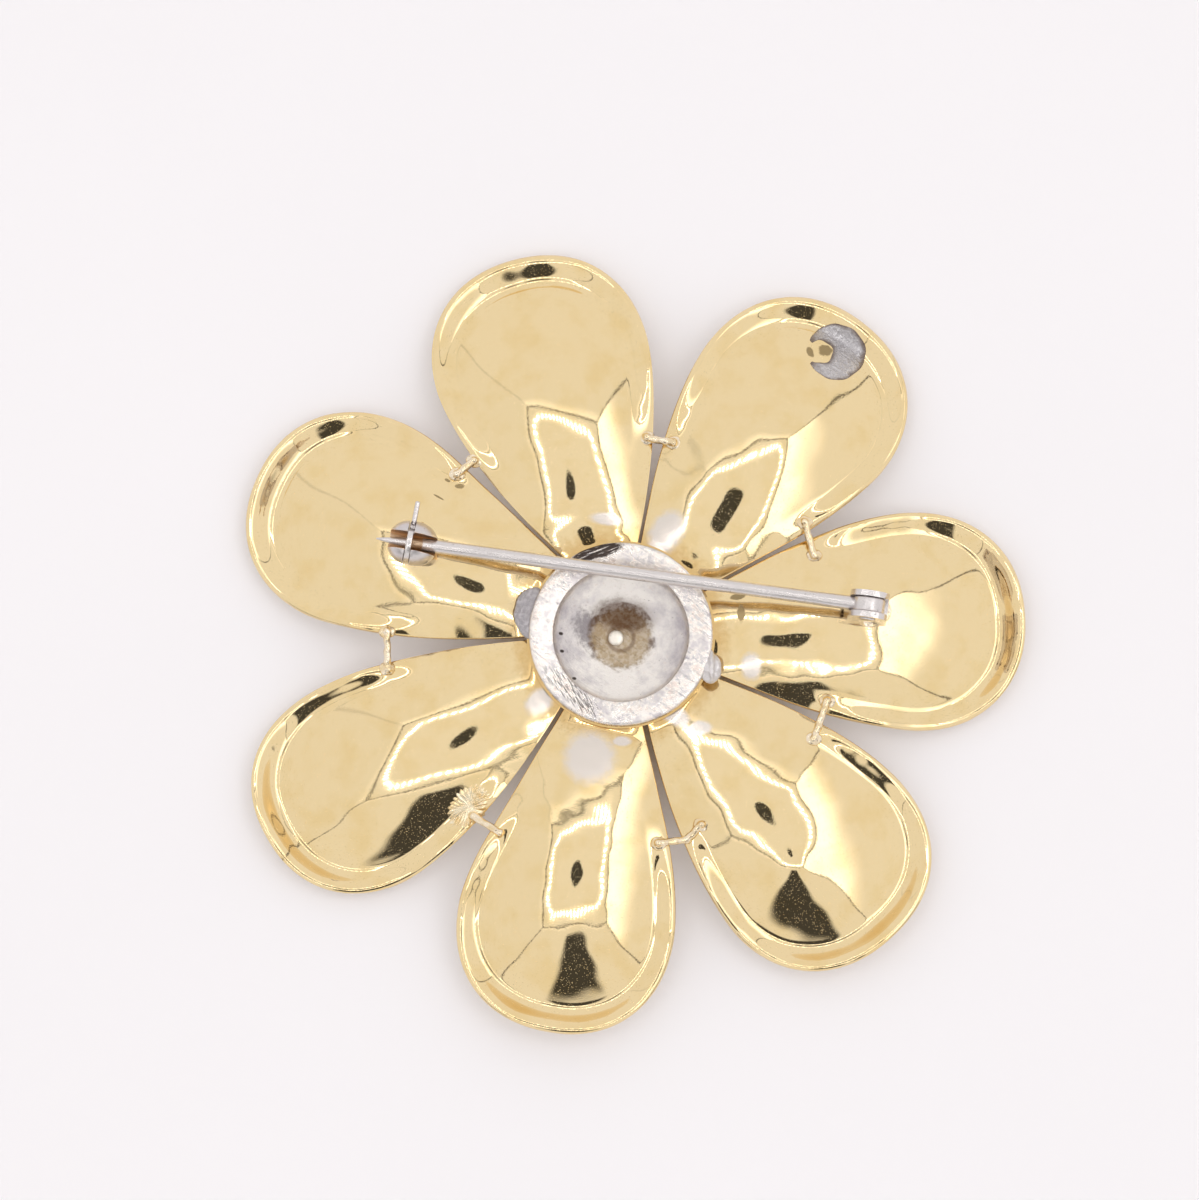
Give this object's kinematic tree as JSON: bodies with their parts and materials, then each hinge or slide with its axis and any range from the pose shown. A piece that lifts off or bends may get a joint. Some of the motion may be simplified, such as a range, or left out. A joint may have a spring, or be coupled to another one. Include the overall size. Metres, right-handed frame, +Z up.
{
  "type": "flower brooch",
  "caption": "Domed flower brooch lying face down, with turned-rim gold petals round a silver back cup, a hinged pin and a turning safety catch.",
  "frame": {"origin": "middle of the brooch's box in plan, on the surface that its face-down petal tips rest on", "axes": "+Z up from the resting surface out of the brooch's back, +X towards the hinge end of the pin, +Y across the pin towards the catch's lever"},
  "size_m": [0.0703, 0.0708, 0.0103],
  "materials": {
    "gold_plate": "polished gold-coloured plating, lightly worn",
    "cast_silver": "cast silver-coloured metal, tarnished in the bowl",
    "steel": "bright nickel-plated steel with fine brush marks"
  },
  "bodies": {
    "brooch": {"petal_1": "gold_plate", "petal_2": "gold_plate", "petal_3": "gold_plate", "petal_4": "gold_plate", "petal_5": "gold_plate", "petal_6": "gold_plate", "petal_7": "gold_plate", "seat_ring": "gold_plate", "back_cup": "cast_silver", "centre_rivet": "steel", "front_boss": "gold_plate", "hinge_block": "steel", "hinge_rivet": "steel", "catch_body": "steel"},
    "pin": {"pin_stem": "steel"},
    "collar": {"catch_collar": "steel"}
  },
  "joints": [
    {"name": "pin_hinge", "type": "hinge", "parent": "brooch", "child": "pin", "pos_m": [0.02092, 0.00271, 0.0084], "axis": [0.1357, 0.9907, 0], "range_deg": [0, 110]},
    {"name": "collar_turn", "type": "hinge", "parent": "brooch", "child": "collar", "pos_m": [-0.02, 0.00832, 0.0084], "axis": [0.9816, -0.1908, 0], "range_deg": [0, 126]}
  ]
}
